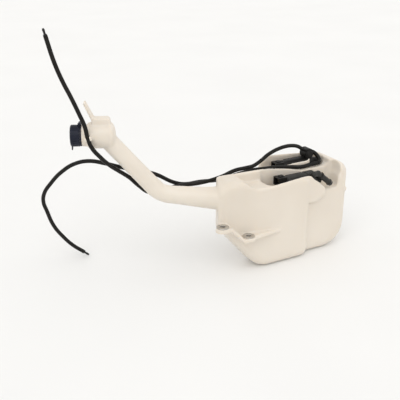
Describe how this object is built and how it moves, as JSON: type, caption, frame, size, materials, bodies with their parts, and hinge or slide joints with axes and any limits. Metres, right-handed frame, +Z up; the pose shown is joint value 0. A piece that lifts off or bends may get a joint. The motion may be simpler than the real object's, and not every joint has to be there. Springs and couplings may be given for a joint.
{
  "type": "washer fluid reservoir",
  "caption": "Translucent blow-moulded washer fluid tank with a long bent filler neck, hinged cap, mounting lugs, washer pumps and black hoses.",
  "frame": {"origin": "middle of the bounding box's base, hoses left out, on the surface the tank lies on", "axes": "+X from the filler neck's end to the sump end, +Y to the back, +Z up; the tank lies on its side as pictured"},
  "size_m": [0.4975, 0.2248, 0.4045],
  "materials": {
    "tank_plastic": "satin, translucent",
    "ferrule_steel": "zinc plated",
    "cap_plastic": "satin",
    "pump_plastic": "satin",
    "seal_rubber": "matte",
    "terminal_brass": "tinned",
    "motor_steel": "plated",
    "rotor_steel": "bare",
    "impeller_plastic": "moulded",
    "hose_rubber": "satin",
    "tip_plastic": "moulded"
  },
  "bodies": {
    "reservoir": {"tank": "tank_plastic", "tank_top_front": "tank_plastic", "tank_top_back": "tank_plastic", "filler_neck": "tank_plastic", "filler_head": "tank_plastic", "ferrules": "ferrule_steel", "cap_ring": "cap_plastic", "front_pump_housing": "pump_plastic", "front_pump_cover": "pump_plastic", "front_pump_terminals": "terminal_brass", "front_pump_motor": "motor_steel", "front_pump_seal": "seal_rubber", "front_pump_lid": "pump_plastic", "front_pump_grommet": "seal_rubber", "rear_pump_housing": "pump_plastic", "rear_pump_cover": "pump_plastic", "rear_pump_terminals": "terminal_brass", "rear_pump_motor": "motor_steel", "rear_pump_seal": "seal_rubber", "rear_pump_lid": "pump_plastic", "rear_pump_grommet": "seal_rubber", "valve_cover": "pump_plastic", "valve_diaphragm": "seal_rubber", "hose_elbow": "hose_rubber", "hose_a": "hose_rubber", "hose_b": "hose_rubber", "hose_a_tip": "tip_plastic", "hose_b_tip": "tip_plastic"},
    "cap": {"filler_cap": "cap_plastic", "cap_seal": "seal_rubber"},
    "front_rotor": {"front_pump_rotor": "rotor_steel", "front_pump_impeller": "impeller_plastic"},
    "rear_rotor": {"rear_pump_rotor": "rotor_steel", "rear_pump_impeller": "impeller_plastic"}
  },
  "joints": [
    {"name": "cap_hinge", "type": "hinge", "parent": "reservoir", "child": "cap", "pos_m": [-0.21655, 0.05637, 0.26093], "axis": [0.4226, 0.9063, 0], "range_deg": [0, 110]},
    {"name": "front_rotor_spin", "type": "hinge", "parent": "reservoir", "child": "front_rotor", "pos_m": [0.12371, -0.03019, 0.132], "axis": [1, 0, 0], "continuous": true},
    {"name": "rear_rotor_spin", "type": "hinge", "parent": "reservoir", "child": "rear_rotor", "pos_m": [0.14871, 0.01381, 0.146], "axis": [1, 0, 0], "continuous": true}
  ]
}
